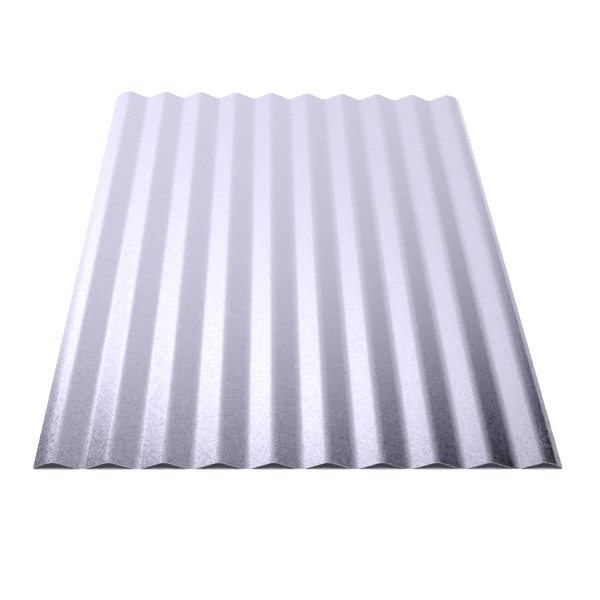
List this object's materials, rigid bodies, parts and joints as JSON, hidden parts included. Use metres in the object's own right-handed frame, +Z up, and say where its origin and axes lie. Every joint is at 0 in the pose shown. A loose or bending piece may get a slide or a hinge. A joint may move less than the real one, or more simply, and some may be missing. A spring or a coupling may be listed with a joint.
{
  "type": "corrugated metal sheet",
  "caption": "Roll-formed corrugated roofing sheet of zinc-coated steel, with round waves, square-cut ends and both side edges turned down into a narrow lip.",
  "frame": {"origin": "middle of the sheet's footprint, at the height of the valley bottoms that it lies on", "axes": "+X across the waves, +Y along them, +Z up, out of the upper face"},
  "size_m": [0.659, 0.9144, 0.0127],
  "materials": {
    "galvanised_steel": "zinc coated, bright, with a fine frosted spangle and light handling scratches"
  },
  "bodies": {
    "root": {"corrugated_sheet": "galvanised_steel"}
  },
  "joints": []
}
